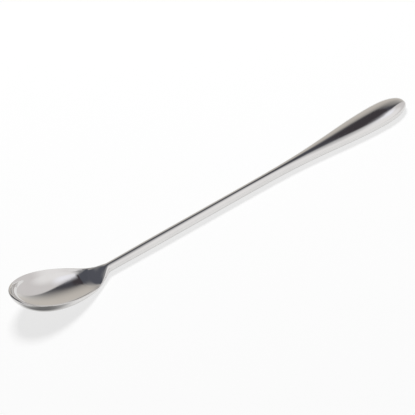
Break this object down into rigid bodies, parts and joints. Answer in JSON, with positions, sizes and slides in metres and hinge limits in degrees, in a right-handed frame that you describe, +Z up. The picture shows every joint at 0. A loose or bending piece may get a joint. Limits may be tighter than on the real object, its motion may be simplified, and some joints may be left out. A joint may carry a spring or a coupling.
{
  "type": "iced tea spoon",
  "caption": "Long-handled spoon with an egg-shaped bowl tipped up at its end, a thin round stem and a swelling rounded grip, for stirring and tasting from tall glasses.",
  "frame": {"origin": "middle of the spoon's length and width, on the surface that the spoon lies on", "axes": "+X along the handle from the bowl's tip towards the end of the grip, +Y across the bowl, +Z up out of the hollow"},
  "size_m": [0.2, 0.024, 0.0163],
  "materials": {
    "bowl_steel": "mirror-polished stainless steel with faint hairlines",
    "stem_steel": "mirror-polished stainless steel with faint hairlines along the stem",
    "grip_steel": "mirror-polished stainless steel",
    "filler": "cast grey cement, not visible"
  },
  "bodies": {
    "root": {"bowl": "bowl_steel", "stem": "stem_steel", "grip_upper_shell": "grip_steel", "grip_lower_shell": "grip_steel", "grip_filler": "filler"}
  },
  "joints": []
}
